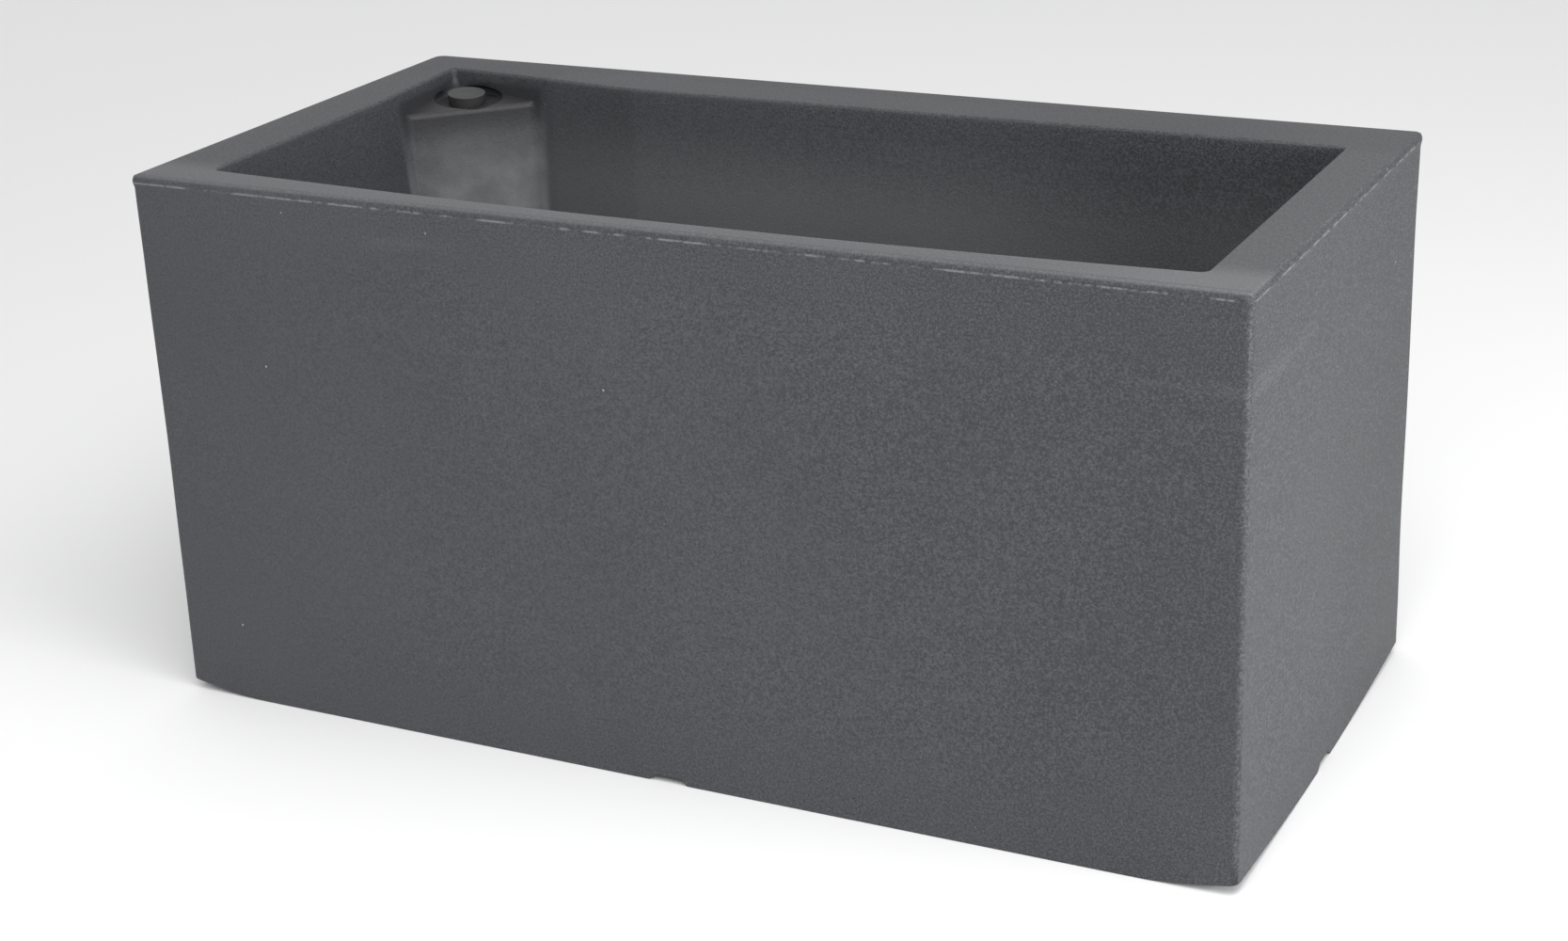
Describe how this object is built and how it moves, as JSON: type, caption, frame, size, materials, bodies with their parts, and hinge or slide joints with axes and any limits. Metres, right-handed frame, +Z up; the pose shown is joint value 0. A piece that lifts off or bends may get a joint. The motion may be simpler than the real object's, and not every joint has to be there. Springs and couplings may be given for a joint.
{
  "type": "self watering planter",
  "caption": "Rectangular double-walled trough planter whose hollow walls hold water, with a corner fill stopper, floor drain, reservoir drain, air sensor and floor water ports.",
  "frame": {"origin": "on the ground under the middle of the trough", "axes": "+X along the length towards the sensor end, +Z up, -Y to the front, the fill corner at -X and +Y"},
  "size_m": [1.024, 0.5, 0.5],
  "materials": {
    "slate_polyethylene": "rotomoulded polyethylene, slate grey with a fine sandy speckle",
    "black_rubber": "dull warm black rubber",
    "black_polypropylene": "moulded black polypropylene, satin",
    "brass_insert": "turned brass",
    "porous_felt": "dense off-white wicking felt",
    "stainless_screen": "thin stainless sheet"
  },
  "bodies": {
    "trough": {"planter_body": "slate_polyethylene", "drain_bushing": "black_polypropylene", "reservoir_bushing": "brass_insert", "sensor_grommet": "black_rubber", "outlet_grommet_1": "black_rubber", "outlet_nozzle_1": "black_polypropylene", "outlet_screen_1": "stainless_screen", "outlet_grommet_2": "black_rubber", "outlet_nozzle_2": "black_polypropylene", "outlet_screen_2": "stainless_screen", "outlet_grommet_3": "black_rubber", "outlet_nozzle_3": "black_polypropylene", "outlet_screen_3": "stainless_screen", "outlet_grommet_4": "black_rubber", "outlet_nozzle_4": "black_polypropylene", "outlet_screen_4": "stainless_screen"},
    "stopper": {"fill_stopper": "black_rubber"},
    "screen": {"drain_screen": "black_polypropylene"},
    "drain_seal": {"drain_o_ring": "black_rubber"},
    "drain_screw": {"drain_plug": "black_polypropylene"},
    "tap_seal": {"reservoir_gasket": "black_rubber"},
    "tap_screw": {"reservoir_plug": "black_polypropylene"},
    "sensor": {"sensor_housing": "black_polypropylene", "sensor_wick": "porous_felt"}
  },
  "joints": [
    {"name": "stopper_lift", "type": "slide", "parent": "trough", "child": "stopper", "axis": [0.0555, -0.0555, 0.9969], "range_m": [0, 0.06]},
    {"name": "screen_lift", "type": "slide", "parent": "trough", "child": "screen", "axis": [0, 0, 1], "range_m": [0, 0.05]},
    {"name": "drain_rise", "type": "slide", "parent": "trough", "child": "drain_seal", "axis": [0, 0, 1], "range_m": [0, 0.012]},
    {"name": "drain_turn", "type": "hinge", "parent": "drain_seal", "child": "drain_screw", "pos_m": [0, 0, 0.0685], "axis": [0, 0, 1], "range_deg": [0, 1440]},
    {"name": "tap_back", "type": "slide", "parent": "trough", "child": "tap_seal", "axis": [0, 1, 0], "range_m": [0, 0.008]},
    {"name": "tap_turn", "type": "hinge", "parent": "tap_seal", "child": "tap_screw", "pos_m": [0.4, 0.2369, 0.046], "axis": [0, 1, 0], "range_deg": [0, 1440]},
    {"name": "sensor_pull", "type": "slide", "parent": "trough", "child": "sensor", "axis": [-1, 0, 0], "range_m": [0, 0.034]}
  ],
  "couplings": [
    {"joint": "drain_turn", "follows": "drain_rise", "rad_per_m": 2094.4},
    {"joint": "tap_turn", "follows": "tap_back", "rad_per_m": 3141.6}
  ]
}
